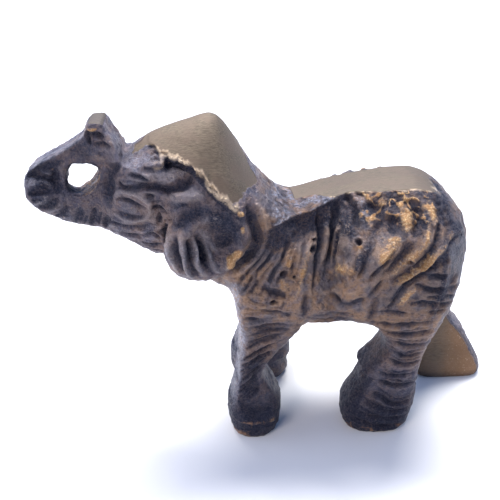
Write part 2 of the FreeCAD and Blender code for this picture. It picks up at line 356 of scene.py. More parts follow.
def surface(field, low, cell):
    """The surface of a field as points and quads."""
    grid = openvdb.FloatGrid(FAR)
    grid.copyFromArray(np.clip(field, -FAR, FAR).astype(np.float32))
    grid.transform = openvdb.createLinearTransform(voxelSize=cell)
    points, quads = grid.convertToQuads(isovalue=0.0)
    return points + low, quads.astype(np.int64)


# ---------------------------------------------------------------- relief

NOISE_PERIOD = 32                                        # blobs before the noise repeats


def noise(places, size, seed):
    """Smooth random values from -1 to 1 in blobs of about the given size."""
    values = np.random.default_rng(seed).uniform(-1, 1, (NOISE_PERIOD,) * 3)
    at = places / size + 100.5
    cell = np.floor(at).astype(int)
    t = at - cell
    t = t * t * (3 - 2 * t)
    cell %= NOISE_PERIOD
    total = np.zeros(len(places))
    for corner in np.ndindex(2, 2, 2):
        i, j, k = ((cell + corner) % NOISE_PERIOD).T
        weight = np.prod(np.where(corner, t, 1 - t), axis=1)
        total += weight * values[i, j, k]
    return total


def rough(places, size, seed):
    """Three octaves of noise."""
    return sum(noise(places, size / 2 ** octave, seed + octave) / 1.6 ** octave for octave in range(3)) / 1.6


def ease(value, start, end):
    """0 before start, 1 after end, smooth between."""
    t = np.clip((value - start) / (end - start), 0, 1)
    return t * t * (3 - 2 * t)


def patch(x, z, center, reach):
    """1 at the center, fading out over the reach in X and Z."""
    return np.exp(-((x - center[0]) / reach[0]) ** 2 - ((z - center[1]) / reach[1]) ** 2)


def fan(first, last, count, rng, wobble):
    """Lines that pass from one line to another, each a little off."""
    first, last = np.array(first, float), np.array(last, float)
    return [first + (last - first) * (n + rng.uniform(-0.25, 0.25)) / (count - 1)
            + rng.uniform(-wobble, wobble, first.shape) for n in range(count)]


LAYERS = ("dark", "gold", "filed", "frost", "copper", "edge", "relief", "cool")


class Relief:
    """The marks on the hide: how far each point moves, and what is in the recesses and on the ridges."""

    def __init__(self, points, normals):
        self.points, self.normals = points, normals
        count = len(points)
        self.height = np.zeros(count)
        self.layers = {name: np.zeros(count) for name in LAYERS}

    def mark(self, flat, weight, corners, depth, width, layer=None, amount=1.0, blunt=0.0):
        """One stroke along the corners: flat holds each point's two coordinates in the stroke's own plane."""
        line = spline(corners, 4)
        reach = 2.6 * width + 0.2
        within = np.all((flat > line.min(0) - reach) & (flat < line.max(0) + reach), axis=1)
        near = np.flatnonzero((weight > 0.01) & within)
        if not len(near):
            return
        spots = flat[near]
        best, along = np.full(len(near), 1e9), np.zeros(len(near))
        for step, (start, end) in enumerate(zip(line[:-1], line[1:])):
            run = end - start
            t = np.clip((spots - start) @ run / max(run @ run, 1e-9), 0, 1)
            gap = np.linalg.norm(spots - start - t[:, None] * run, axis=1)
            closer = gap < best
            best[closer] = gap[closer]
            along[closer] = (step + t[closer]) / (len(line) - 1)
        taper = np.sqrt(np.clip(4 * along * (1 - along), 0, 1)) * (1 - blunt) + blunt
        shape = np.exp(-(best / (width * (0.5 + 0.5 * taper))) ** 2) * taper * weight[near]
        self.height[near] += depth * shape
        if depth < 0:
            lips = np.exp(-((best - 1.7 * width) / (0.6 * width)) ** 2) * taper * weight[near]
            self.height[near] -= 0.35 * depth * lips
        if layer:
            self.layers[layer][near] = np.maximum(self.layers[layer][near], amount * shape)


def cut_flank(strokes, rng):
    """The folds of the flank: ridges first, then the grooves and pits between them."""
    strokes(0.5, 0.55, "gold", 0.8, [(3.6, 35.2), (2.9, 32.9), (2.2, 30.6), (1.2, 27.5)])
    strokes(0.55, 0.85, "gold", 0.95, [(17.3, 37.9), (15.3, 36.3), (13.6, 34.4)])
    strokes(0.6, 0.65, "gold", 0.9, [(21.4, 39.6), (20.7, 37.6), (19.0, 35.9), (17.5, 34.3), (15.2, 32.0)])
    strokes(0.6, 0.65, "gold", 0.9, [(25.4, 38.0), (22.5, 35.6), (20.3, 33.5), (18.2, 32.1), (16.3, 30.4)])
    strokes(0.45, 0.75, "gold", 0.9, [(19.9, 30.2), (18.6, 28.5), (17.6, 26.7)])
    strokes(0.4, 0.7, "gold", 0.7, [(10.4, 33.4), (9.2, 32.2), (7.7, 30.6)], [(0.6, 34.8), (0.1, 32.8)],
            [(-0.4, 31.2), (-0.1, 29.3)])
    strokes(0.5, 0.5, "frost", 0.35, [(14.1, 38.4), (12.1, 36.0), (10.6, 33.2)])
    strokes(0.45, 0.8, None, 0, [(7.4, 40.2), (7.2, 38.3), (6.5, 36.0), (6.0, 32.6)],
            [(10.2, 40.8), (9.8, 38.9), (8.9, 36.1), (8.0, 32.6)], [(3.6, 39.6), (4.0, 36.4), (3.6, 33.0)])
    strokes(0.4, 0.75, "frost", 0.8, [(11.8, 41.8), (12.0, 40.2), (11.7, 39.0)])
    strokes(0.35, 0.5, "copper", 0.3,
            [(5.2, 29.6), (5.8, 28.0), (7.3, 27.7), (8.6, 29.1), (10.3, 29.2), (11.7, 30.2), (13.4, 31.2)])
    strokes(0.4, 0.9, None, 0, [(23.0, 33.2), (25.2, 32.9), (27.6, 32.8)],
            [(21.4, 31.0), (24.4, 30.6), (27.2, 29.9)], [(24.4, 35.8), (27.2, 35.4)],
            [(20.4, 28.5), (23.6, 28.2), (26.6, 27.6)])
    strokes(-0.6, 0.5, "dark", 1.0, [(8.2, 41.0), (8.1, 39.0), (7.7, 36.9), (7.0, 33.8), (6.6, 30.2)],
            [(5.6, 40.0), (5.8, 38.0), (5.2, 34.9), (4.6, 31.5)], [(9.6, 41.8), (10.9, 40.4), (11.1, 38.0)],
            [(14.9, 40.0), (14.3, 38.8), (12.9, 36.9), (11.5, 33.5), (10.8, 31.9)],
            [(18.6, 37.6), (16.7, 34.9), (14.1, 32.3)],
            [(23.1, 39.6), (22.2, 36.9), (20.3, 34.6), (18.2, 32.8), (15.8, 31.0)],
            [(25.0, 37.3), (22.9, 34.5), (21.1, 33.0), (18.8, 31.3), (17.0, 29.4), (15.9, 28.0)])
    strokes(0.45, 0.8, "gold", 0.8, [(17.4, 42.0), (18.2, 40.2), (17.7, 38.4)],
            [(20.8, 41.8), (22.2, 40.8), (22.0, 39.2)], [(14.6, 41.9), (15.2, 41.0)])
    strokes(-0.6, 0.8, "dark", 1.2, [(17.0, 40.6), (16.2, 39.3), (15.4, 38.2)],
            [(19.8, 41.4), (19.8, 39.9), (19.0, 38.2)], [(13.6, 41.4), (13.8, 39.6)])
    strokes(-0.5, 0.45, "dark", 0.95, [(21.2, 32.1), (23.9, 32.0), (27.8, 31.0)],
            [(19.3, 30.5), (22.2, 29.9), (27.0, 28.8)], [(23.6, 34.7), (25.4, 34.4), (27.6, 34.3)],
            [(24.2, 37.0), (27.3, 36.6)], [(19.4, 27.2), (23.0, 26.9), (26.6, 26.2)])
    strokes(-0.5, 0.5, "dark", 0.85, [(7.0, 27.0), (8.2, 27.4), (9.5, 26.6), (11.0, 27.5), (12.6, 28.4)],
            [(13.6, 28.6), (13.5, 25.7), (13.4, 23.6)], [(3.4, 29.2), (3.0, 26.6), (3.2, 24.6)],
            [(-3.5, 29.6), (-0.9, 29.0), (0.0, 28.3)])
    strokes(-0.28, 0.32, "dark", 0.35, [(-2.2, 37.6), (-3.9, 34.3), (-7.2, 30.2)],
            [(-0.9, 37.2), (-2.4, 34.5), (-5.9, 30.1)], [(1.1, 37.2), (-0.3, 34.6), (-2.8, 29.8)],
            [(2.3, 36.9), (1.5, 34.2), (0.2, 29.9)])
    for line in fan([(-3.4, 37.4), (-5.6, 33.8), (-7.8, 31.2)], [(1.7, 36.6), (0.6, 33.8), (-1.6, 29.6)],
                    6, rng, 0.3):
        strokes(-0.2, 0.25, "dark", 0.45, line)
    for line in fan([(-6.4, 31.4), (-8.0, 28.8)], [(0.6, 29.4), (-1.4, 26.8)], 7, rng, 0.4):
        strokes(-0.2, 0.26, "dark", 0.4, line)
    for spot, size in (((4.3, 36.0), 0.2), ((4.1, 34.6), 0.34), ((-0.1, 31.8), 0.34), ((11.2, 36.4), 0.3),
                       ((18.4, 34.6), 0.3), ((-2.1, 27.7), 0.26), ((1.2, 31.2), 0.18)):
        spot = np.array(spot)
        strokes(-0.7, size, "dark", 1.6, [spot - (0.6 * size, 0), spot + (0.6 * size, 0.1)], blunt=1.0)
    strokes(0.3, 0.2, "gold", 1.3, [(10.7, 35.9), (11.2, 35.7), (11.7, 35.9)])
    strokes(0.5, 0.5, None, 0, [(13.0, 37.2), (11.4, 34.8), (10.2, 32.0)],
            [(15.6, 34.2), (14.2, 32.4), (13.0, 30.6)], [(17.6, 30.6), (16.4, 28.8), (15.6, 27.0)],
            [(8.4, 38.6), (7.9, 35.0), (7.0, 31.0)], [(2.6, 38.0), (2.2, 35.4), (1.4, 32.8)])
    strokes(-0.45, 0.32, "dark", 0.9, [(12.2, 36.4), (10.9, 34.0), (9.4, 31.2)],
            [(16.4, 36.6), (14.4, 34.2), (12.6, 31.2)], [(14.6, 31.4), (13.4, 29.6), (12.6, 28.2)],
            [(17.4, 29.2), (16.2, 27.2), (15.8, 25.6)], [(5.2, 33.4), (4.6, 30.8), (4.4, 28.4)],
            [(9.0, 38.2), (8.4, 35.2), (7.6, 31.6)], [(21.6, 28.4), (24.4, 28.2), (27.0, 27.4)],
            [(22.6, 25.4), (25.4, 25.0)])
    for line in fan([(4.2, 24.6), (6.4, 24.0), (8.6, 24.6), (11.2, 24.0)],
                    [(4.6, 21.4), (7.0, 21.2), (9.4, 21.6), (11.8, 21.2)], 7, rng, 0.3):
        strokes(-0.28, 0.28, "dark", 0.7, line)
    for line in fan([(-6.6, 27.6), (-3.6, 27.4), (-0.6, 27.8)], [(-7.0, 22.4), (-3.8, 22.8), (-0.4, 23.6)],
                    6, rng, 0.3):
        strokes(-0.22, 0.25, "dark", 0.6, line)


def cut_legs(strokes, rng, side, relief, grip):
    """Rings round the hind leg and slants across the fore leg, drawn on legs of ten units' width."""
    x, _, z = relief.points.T
    for name in ("leg_front", "leg_hind"):
        front, rear = (edge(z) for edge in LEG_CURVES[name + ("_left" if side < 0 else "_right")])
        local = np.column_stack([10 * (x - front) / (rear - front), z]) + relief.warp
        reach = grip * (x > front - 1.5) * (x < rear + 1.5)
        if name == "leg_front":
            rings = fan([(1.6, 22.2), (5.0, 23.0), (8.2, 23.2)], [(1.2, 18.4), (4.2, 19.6), (7, 20.9)],
                        4, rng, 0.2)
            rings += fan([(0.6, 15.6), (4.0, 17.6), (7.4, 19.7)], [(1.0, 6.8), (4.6, 9.0), (8.0, 11.8)],
                         9, rng, 0.25)
            strokes(-0.45, 0.8, "dark", 0.8, [(1.6, 6.8), (3.6, 5.6), (6.0, 5.2), (8.4, 6.0)],
                    weight=reach, flat=local)
            strokes(0.3, 0.4, "copper", 0.6, [(1.2, 3.8), (5, 3.7), (9.0, 3.4)], weight=reach, flat=local)
            strokes(0.2, 0.4, "gold", 1.0, [(7.4, 3.6), (8.6, 3.5)], weight=reach, flat=local)
        else:
            rings = fan([(0.2, 23.2), (4.2, 22.3), (8.8, 23.0)], [(2.0, 10.6), (5.4, 9.2), (9.2, 9.4)],
                        7, rng, 0.2)
            rings += fan([(2.4, 8.6), (5.6, 6.8), (9.2, 6.2)], [(1.0, 3.4), (4.6, 1.6), (8.4, 1.6)],
                         4, rng, 0.2)
        for ring in rings:
            strokes(-0.48, rng.uniform(0.34, 0.5), "dark", 1.1, ring, weight=reach, flat=local)
            stretch = (rng.uniform(0.7, 1.1), 1)
            beside = np.array(ring) * stretch + (rng.uniform(-0.6, 1.2), rng.uniform(0.7, 1.0))
            strokes(-0.2, 0.22, "dark", 0.7, beside, weight=reach, flat=local)


def cut_head(strokes, rng, clear_of_eye):
    """The brow, the eye's rings and the creases of the cheek."""
    strokes(0.45, 0.7, None, 0, [(-20.8, 46.9), (-17.6, 47.0), (-14.6, 47.2)],
            [(-17.0, 44.2), (-14.4, 44.9), (-12.0, 45.2)])
    strokes(-0.6, 0.5, "dark", 1.0,
            [(-21.4, 48.2), (-17.1, 48.3), (-13.4, 47.9), (-11.0, 46.6), (-8.8, 45.0)],
            [(-25.2, 44.9), (-22.5, 45.1), (-19.9, 45.6), (-17.2, 45.2), (-15.0, 46.1), (-13.4, 47.2)])
    eye_rim = [(-25.6, 43.2), (-24.0, 44.2), (-22.2, 44.1), (-20.8, 43.5), (-20.2, 42.3), (-20.7, 40.8),
               (-22.2, 39.7), (-23.8, 39.6), (-25.4, 40.4)]
    strokes(0.4, 0.42, None, 0, spline(eye_rim, 2), blunt=0.6)
    strokes(0.35, 0.45, None, 0, [(-24.6, 41.7), (-23.0, 41.6), (-21.6, 41.5)])
    strokes(-0.45, 0.32, "dark", 1.0, [(-25.2, 42.6), (-23.4, 42.9), (-20.9, 42.0)],
            [(-25.2, 41.0), (-23.8, 40.4), (-22.4, 40.2), (-21.2, 40.8)], [(-20.7, 44.2), (-19.5, 44.1)],
            [(-20.1, 42.4), (-18.8, 42.6), (-17.4, 41.6)], [(-18.9, 41.7), (-18.8, 40.6), (-19.4, 39.6)],
            [(-26.8, 39.2), (-24.5, 38.6), (-22.1, 38.7), (-20.6, 39.2)],
            [(-25.6, 37.2), (-23.5, 37.0), (-21.4, 37.3)], [(-22.4, 35.9), (-20.6, 35.6), (-19.2, 35.8)])
    strokes(0.45, 0.75, "copper", 0.25, [(-20.4, 40.6), (-19.9, 40.5)], blunt=1.0)
    strokes(-0.35, 0.3, "dark", 1.0, [(-20.3, 50.4), (-19.6, 50.6), (-18.9, 50.5)],
            [(-18.3, 50.1), (-17.2, 50.0)], [(-23.4, 46.8), (-21.6, 46.9), (-19.6, 46.3)])
    for line in fan([(-25.4, 46.0), (-21.6, 46.4), (-17.4, 46.2)],
                    [(-24.6, 36.0), (-21.4, 35.0), (-18.4, 34.6)], 8, rng, 0.3):
        strokes(-0.16, 0.22, "dark", 0.5, line, weight=clear_of_eye)
    for line in fan([(-18.6, 44.6), (-15.8, 44.6)], [(-18.0, 40.6), (-15.6, 41.2)], 4, rng, 0.3):
        strokes(-0.16, 0.22, "dark", 0.5, line)


def cut_ear(strokes):
    """Ribs in the ear's lobe, a deep bowl, worn spots and the dark gap behind it."""
    strokes(0.55, 0.42, "frost", 0.5, [(-17.0, 39.2), (-17.2, 36.6), (-16.6, 33.8)],
            [(-15.7, 39.3), (-15.2, 36.2), (-14.4, 32.4)], [(-14.3, 38.9), (-13.6, 36.2), (-12.4, 33.2)],
            [(-12.8, 38.4), (-11.6, 36.0), (-9.9, 33.3)])
    strokes(-0.6, 0.42, "dark", 1.1, [(-16.4, 39.6), (-16.2, 36.6), (-15.6, 33.4)],
            [(-15.0, 39.2), (-14.4, 36.2), (-13.4, 32.8)], [(-13.5, 39.6), (-12.6, 36.4), (-11.0, 33.2)],
            [(-17.9, 40.0), (-18.2, 37.4), (-17.6, 35.0)])
    strokes(-0.6, 1.1, "dark", 1.1, [(-17.6, 40.4), (-15.6, 41.4), (-14.0, 42.7), (-12.0, 43.4)],
            [(-9.8, 39.0), (-9.0, 37.4)])
    strokes(0.45, 0.6, "frost", 0.4, [(-12.6, 41.4), (-11.0, 41.7), (-9.4, 41.2)],
            [(-12.8, 40.2), (-11.8, 38.2), (-10.2, 36.4)])
    strokes(0.5, 0.5, "gold", 1.5, [(-8.6, 35.4), (-7.2, 36.4)], [(-8.7, 34.4), (-8.2, 35.2)], blunt=0.7)
    strokes(0.3, 0.3, "gold", 1.2, [(-6.9, 39.9), (-6.8, 39.4)], [(-6.9, 42.1), (-6.3, 42.0)], blunt=1.0)
    strokes(-0.9, 0.85, "dark", 1.4,
            [(-6.2, 42.4), (-5.2, 41.0), (-4.4, 38.8), (-4.9, 35.8), (-7.2, 33.6), (-9.4, 32.0)])


def cut_trunk(strokes):
    """Folds that run out from the trunk's loop."""
    strokes(-0.5, 0.55, "dark", 1.2,
            [(-39.4, 44.9), (-37.8, 45.9), (-36.2, 46.7), (-34.6, 47.3), (-33.0, 47.9)],
            [(-34.4, 47.0), (-34.6, 44.8), (-34.2, 42.9)])
    strokes(-0.4, 0.35, "dark", 1.1, [(-29.4, 51.9), (-28.0, 51.9), (-26.8, 51.6)])
    strokes(0.15, 0.2, "gold", 1.2, [(-29.3, 52.7), (-28.2, 52.5), (-27.2, 52.7)])
    strokes(-0.35, 0.3, "dark", 1.0, [(-28.9, 51.4), (-28.8, 49.9)], [(-36.9, 44.2), (-35.6, 43.9)],
            [(-38.6, 42.0), (-36.4, 42.4)], [(-33.6, 39.0), (-32.6, 40.3)], [(-31.2, 38.0), (-30.3, 39.6)],
            [(-28.8, 38.2), (-28.0, 40.2)], [(-25.0, 45.6), (-24.2, 45.0), (-22.6, 44.9)],
            [(-19.6, 37.6), (-18.4, 38.6), (-17.4, 38.2)], [(-22.0, 37.2), (-20.4, 37.6), (-19.0, 37.0)],
            [(-16.9, 42.6), (-15.4, 43.6), (-13.6, 43.9)])
    strokes(-0.45, 0.45, "dark", 1.0, [(-39.2, 42.9), (-36.6, 43.4), (-34.6, 43.6)],
            [(-37.8, 40.6), (-35.6, 41.4), (-34.2, 42.2)], [(-38.9, 45.4), (-36.4, 45.4), (-34.8, 45.0)],
            [(-35.2, 38.8), (-33.6, 40.2), (-32.8, 41.0)], [(-32.6, 38.0), (-31.4, 39.4), (-31.0, 40.6)],
            [(-30.2, 37.6), (-29.2, 39.4), (-29.2, 41.0)], [(-27.8, 37.6), (-26.8, 39.8)])
    strokes(-0.5, 0.7, "dark", 1.1, [(-24.6, 47.6), (-26.4, 46.0), (-26.2, 43.6), (-26.8, 41.2)])
    strokes(0.35, 0.5, "frost", 0.3, [(-38.8, 44.2), (-36.4, 44.4), (-34.7, 44.3)],
            [(-38.0, 41.8), (-35.4, 42.4)], [(-36.6, 40.2), (-34.0, 41.4)], [(-34.0, 39.0), (-32.4, 40.6)],
            [(-36.8, 46.4), (-34.8, 46.0)])
    strokes(-0.4, 0.36, "dark", 0.9, [(-28.6, 50.0), (-26.9, 50.6), (-25.6, 50.0)],
            [(-29.1, 52.6), (-28.9, 50.2)], [(-24.0, 48.4), (-25.2, 47.4), (-26.8, 47.2)],
            [(-27.6, 52.0), (-26.4, 51.4)])
    strokes(0.35, 0.5, "copper", 0.35, [(-29.2, 49.0), (-28.0, 48.5), (-26.8, 48.0)])


def find_zones(points, normals):
    """The stretches of the casting that are treated apart, each as a share from 0 to 1 at every point."""
    x, y, z = points.T
    nx, ny, nz = normals.T
    at = SimpleNamespace()
    # faces filed flat, and others that are smooth
    nape = -3.6 - x - np.where(y > -3, 0.75 * (y + 3), -0.57 * (y + 3))
    at.filed = (ease(-np.abs(crown_plane(x, y, z)), -0.16, -0.05)
                * ease(nape + 0.6 * noise(points, 1.2, 25), 0, 0.5)
                * ease(x + 0.5 * noise(points, 1.5, 25), -23.2, -22.0) * ease(z, 43, 44.5)
                * ease(crown_rim(x) + 0.9 * ease(-x, 19.5, 21) - np.abs(y), -0.1, 0.1))
    at.spine = (ease(-np.abs(back_plane(x, y, z)), -0.16, -0.05) * ease(x, -2.5, -1.0) * ease(z, 38, 39)
                * ease(y - FILED_EDGE(x) + 0.4 * noise(points, 1.6, 21), -0.2, 0.1)
                * ease(-x + 0.9 * noise(points, 1.8, 22), -25.0, -23.2))
    at.bevel = (ease(-np.abs(rump_plane(x, y, z)), -0.25, -0.06) * ease(x, 22, 24) * ease(z, 20, 23)
                * ease(-z, -41.5, -39.5))
    at.tip = ease(z, 53.0, 53.3) * ease(-x, 24, 25) * ease(nz, 0.5, 0.8)
    at.strip = ease(-x, 29.5, 30.5) * ease(nz, 0.3, 0.5) * ease(z, 43.5, 45)
    inwards = -np.sign(y) * ny
    at.inner = ease(-z, -18, -15) * ease(inwards, 0.4, 0.75) * ease(x, 22, 24)
    to_rear = LEG_CURVES["leg_hind_right"][1](z) - x
    at.inner_face = at.inner * ease(y, 0.6, 1.2) * ease(to_rear, 0.8, 1.3)
    at.inner_rim = at.inner * ease(y, 0.6, 1.2) * ease(-to_rear, -1.3, -0.8)
    at.hide = 1 - np.clip(at.filed + at.spine + at.bevel + at.tip + at.inner, 0, 1)
    at.hide *= 1 - 0.75 * ease(-z, -18, -15) * ease(inwards, 0.3, 0.7)
    # the rough band under the spine, the scaly slope over the shoulder and the black under it
    below_back = z - BACK(x)
    shoulder = ease(x, -3, -1) * ease(-x, -11, -7)
    at.band = ease(below_back, -5.5, -2.5) * ease(x, -4, -1) * (1 - at.spine) * ease(-x, -26.5, -25)
    at.scaly = ease(below_back, -0.6, -0.25) * shoulder * (1 - at.spine)
    at.under = ease(below_back, -4.6, -3.0) * ease(-below_back, 0.3, 0.7)
    at.under *= ease(x, -4, -2) * ease(-x, -11, -7)
    at.tame = 1 - 0.85 * ease(y, 1, 3) * ease(below_back, -3.5, -1.5) * ease(x, -1, 1)
    slanted = np.column_stack([x + 0.35 * z, y, 0.45 * z - 0.2 * x])
    at.veins = ease(0.20 - np.abs(noise(slanted, 0.9, 99)) + 0.3 * noise(points, 0.6, 97), 0.0, 0.25)
    return at


def cut_sides(relief, at):
    """The strokes on both sides; the far side repeats the near one, each stroke a little moved."""
    points = relief.points
    x, y, z = points.T
    ny = relief.normals[:, 1]
    for side in (-1, 1):
        rng = np.random.default_rng(5 + side)
        jitter = 0.0 if side < 0 else 0.5
        facing = ease(side * ny, 0.12, 0.4) * (side * y > 0) * at.hide
        facing *= 0.72 + 0.5 * ease(noise(points, 1.7, 17), -0.5, 0.5)
        flat = np.column_stack([x, z]) + relief.warp

        def strokes(depth, width, layer, amount, *lines, blunt=0.0, weight=facing, flat=flat):
            for line in lines:
                line = np.array(line, float) + rng.uniform(-jitter, jitter, 2)
                relief.mark(flat, weight, line, depth, width, layer, amount, blunt)

        cut_flank(strokes, rng)
        grip = ease(side * ny, 0.05, 0.35) * (side * y > 0) * at.hide * ease(-z, -24.5, -22.5)
        grip *= 0.75 + 0.5 * ease(noise(points, 1.3, 18), -0.5, 0.5)
        cut_legs(strokes, rng, side, relief, grip)
        strokes(-0.42, 0.4, "dark", 0.9, [(-4.2, 26.4), (-1.8, 25.8), (1.2, 25.2)],
                [(-6.6, 24.6), (-4.0, 24.3)], [(14.2, 25.8), (16.9, 25.4), (19.4, 24.8)])
        cut_head(strokes, rng, facing * ease(np.hypot(x + 23, z - 41.8), 2.8, 3.8))
        cut_ear(strokes)
        cut_trunk(strokes)


def cut_ends(relief, at):
    """Creases beside the tail, folds under it, a few across the throat and the fore legs."""
    x, y, z = relief.points.T
    nx = relief.normals[:, 0]
    behind = ease(nx, 0.45, 0.8) * ease(x, 20, 22) * at.hide
    before = ease(-nx, 0.35, 0.7) * ease(x, -14, -12) * ease(-x, 2, 4) * ease(-z, -33, -30) * at.hide
    across = np.column_stack([y, z]) + relief.warp
    rng = np.random.default_rng(9)
    rear_lines = ([(2.4, 36.6), (4.4, 33.6), (5.4, 29.6)], [(1.9, 32.0), (3.2, 28.4), (3.4, 24.4)],
                  [(2.6, 22.8), (5.6, 21.8), (8.6, 22.4)], [(3.0, 20.6), (6.0, 19.4), (9.4, 20.0)],
                  [(3.4, 17.6), (6.4, 16.8), (9.8, 17.6)], [(3.6, 13.4), (6.6, 12.6), (9.8, 13.4)],
                  [(3.8, 9.2), (6.8, 8.4), (10.2, 9.2)], [(2.4, 39.0), (4.8, 38.2), (6.6, 36.2)],
                  [(5.2, 27.4), (6.8, 25.4), (8.8, 24.6)])
    front_lines = ([(0.6, 28.4), (3.0, 27.6), (5.6, 28.2)], [(0.8, 25.6), (3.2, 24.8), (6.0, 25.4)],
                   [(3.0, 21.6), (6.0, 20.8), (9.0, 21.6)], [(3.4, 16.0), (6.4, 15.2), (9.6, 16.0)],
                   [(3.2, 11.4), (6.6, 10.6), (10.0, 11.4)], [(3.4, 6.6), (6.8, 5.8), (10.4, 6.6)])
    for side in (-1, 1):
        for line in rear_lines:
            line = np.array(line) * (side, 1) + rng.uniform(-0.3, 0.3, 2)
            relief.mark(across, behind, line, -0.42, 0.4, "dark", 0.9)
        for line in front_lines:
            line = np.array(line) * (side, 1) + rng.uniform(-0.3, 0.3, 2)
            relief.mark(across, before, line, -0.35, 0.38, "dark", 0.8)


def roughen(relief, at):
    """Casting texture: coarse under the spine, finer elsewhere, veined over the croup."""
    points = relief.points
    x = points[:, 0]
    below_back = points[:, 2] - BACK(x)
    crinkle = 0.45 - np.abs(rough(points, 1.5, 31)) - 0.6 * np.abs(noise(points, 0.8, 35))
    texture = 0.14 * crinkle + 0.09 * noise(points, 0.6, 61) + 0.2 * rough(points, 4.0, 71)
    texture += at.band * (0.34 * rough(points, 1.4, 41) - 0.15)
    relief.height += at.hide * at.tame * texture
    relief.height += 0.22 * at.band * ease(x, 9, 13) * (at.veins - 0.4) * at.tame
    relief.height -= 0.3 * at.under * ease(-below_back, 0.4, 0.9)


def blacken(dark, points, normals, at):
    """Where the patina is thickest, in recesses, rough stretches and soles, and where shade is painted."""
    x, y, z = points.T
    nx, ny, nz = normals.T
    rim_gap = np.abs(y) - crown_rim(x)
    # painted shade under the overhang of the crown's rim, on faces that turn downwards
    shade = (ease(crown_plane(x, y, z), -2.6, -1.2) * ease(-np.abs(x + 13), -7, -6) * (1 - at.filed)
             * ease(-nz, -0.6, -0.2) * ease(-rim_gap, -2, -1))
    dark += 0.8 * at.band * ease(rough(points, 2.2, 91), -0.5, 0.15) * (1 - at.scaly) + at.under + 0.9 * shade
    dark += (0.4 * ease(-z, -14, -4) + 0.25 * ease(-z, -23, -17)) * at.hide
    dark += 0.32 * ease(-z, -9, -2) * ease(-y, 2, 4)
    dark += 0.5 * ease(-x, 23, 30) * ease(np.abs(ny), 0.3, 0.6)
    dark += 0.45 * patch(x, z, (-10.5, 39), (4.5, 4.5)) * ease(np.abs(y), 9, 10)
    # painted shade on the front faces of the hind legs, which turn away from the light
    dark += 0.5 * ease(-nx, 0.3, 0.6) * ease(x, 9, 11) * ease(-x, -18.5, -17) * ease(-z, -19, -16)
    dark += 0.15 * ease(-z, -20, -17) * ease(-x, -12, -9)
    rump_edge = ease(-np.abs(rump_plane(x, y, z) + 0.5), -0.5, 0) * ease(x, 22, 24) * (1 - at.bevel)
    dark += 0.7 * rump_edge * ease(z, 20, 23)
    cracks = 0.14 - np.abs(noise(np.column_stack([0.6 * x, y, z]), 0.9, 93))
    dark += 0.9 * at.scaly * ease(cracks, 0, 0.1)
    dark += 0.3 * at.head_side * (1 - at.filed) * ease(noise(points, 3.2, 43), -0.4, 0.6)
    dark += 0.3 * patch(x, z, (-23, 41.8), (2.6, 2)) * (1 - at.filed)
    dark += at.tip + 0.35 * at.spine + 0.75 * at.bevel + 0.45 * ease(x, 11, 17) * ease(z, 22, 26) * at.hide
    # lighter behind the elbow, black over the ribs
    dark *= 1 - 0.6 * patch(x, z, (-1.5, 31.5), (5, 4))
    dark += 0.95 * patch(x, z, (10.2, 36.6), (2.6, 3.8)) * ease(noise(points, 1.3, 53), -0.6, 0.4)
    # painted shadow along the foot of the far hind leg, where it meets the floor
    dark += 0.8 * ease(-z, -1.7, -0.9) * ease(x, 25, 27) * ease(y, 0, 1)
    dark += 0.6 * at.bevel * ease(noise(np.column_stack([x, y, 0.5 * z]), 0.9, 49), -0.1, 0.4)
    dark += 0.6 * at.strip * ease(noise(points, 0.9, 39), -0.1, 0.6)
    dark += 0.7 * at.inner_rim
    # painted shade on the side of the loop's inner wall that faces away from the light
    dark += 0.9 * at.loop_wall * (1 - ease(nz - nx, 0.2, 0.6))


def brighten(layers, points, normals, at):
    """Pale bloom, worn gold and copper, the bright chipped edges of the filed faces, and painted reflection
    and highlight on the fore legs' fronts and the loop's lit wall.
    """
    x, y, z = points.T
    nx, _, nz = normals.T
    rim_gap = np.abs(y) - crown_rim(x)
    chips = noise(points, 1.2, 23)
    on_rim = (ease(rim_gap, -0.38, -0.12) * ease(-np.abs(x + 13.2), -6.4, -5.6) * ease(nz, -0.3, 0.1)
              * ease(crown_plane(x, y, z), -0.5, -0.25))
    spine_edge = np.clip(4 * at.spine * (1 - at.spine), 0, 1) * ease(-y, 0, 1)
    layers["edge"] = 0.75 * on_rim * ease(chips, -0.8, -0.1) + 0.8 * spine_edge * ease(chips, -0.3, 0.3)
    # painted highlight on the side of the loop's inner wall that faces the light, in bloom and gold
    lit_wall = at.loop_wall * ease(nz - nx, 0.5, 0.9)
    temple = ease(-x, 17.5, 19.5) * ease(x, -25, -23) * ease(z, 46.5, 48.5) * (1 - at.filed)
    # painted reflection: a pale bluish sheen on the faces of the fore legs that turn forwards
    painted_shin_reflection = ease(-nx, 0.45, 0.8) * ease(x, -11, -10) * ease(-x, 5, 6) * ease(-z, -34, -30) * ease(z, 3, 8)
    belly = ease(-z, -22.5, -21) * ease(z, 18, 19) * ease(-np.abs(x - 7), -8, -5)
    layers["frost"] += (0.65 * temple * ease(noise(points, 0.9, 33), -0.6, 0.5) + 0.8 * painted_shin_reflection
                        + 1.1 * at.scaly * ease(rough(points, 0.9, 95), -0.2, 0.25)
                        + 0.35 * at.bevel * ease(noise(points, 0.8, 29), -0.3, 0.5)
                        + 0.5 * belly * ease(noise(points, 0.7, 37), -0.1, 0.3)
                        + at.strip * (0.15 + 0.35 * ease(noise(points, 1.1, 27), -0.4, 0.4))
                        + 0.35 * lit_wall)
    croup = at.band * ease(x, 10, 13) * ease(-x, -23.5, -20.5) * ease(z - BACK(x), -4.8, -3.2)
    far_foot = at.inner_face * (0.15 + 0.6 * ease(x + 0.8 * noise(points, 2.0, 47), 30, 35.5))
    layers["gold"] += croup * at.veins + far_foot + 0.4 * lit_wall
    layers["copper"] += (ease(-z, -2.2, -0.6) * ease(-np.abs(nz), -0.9, -0.5)
                         * ease(rough(points, 1.8, 103), -0.15, 0.35))


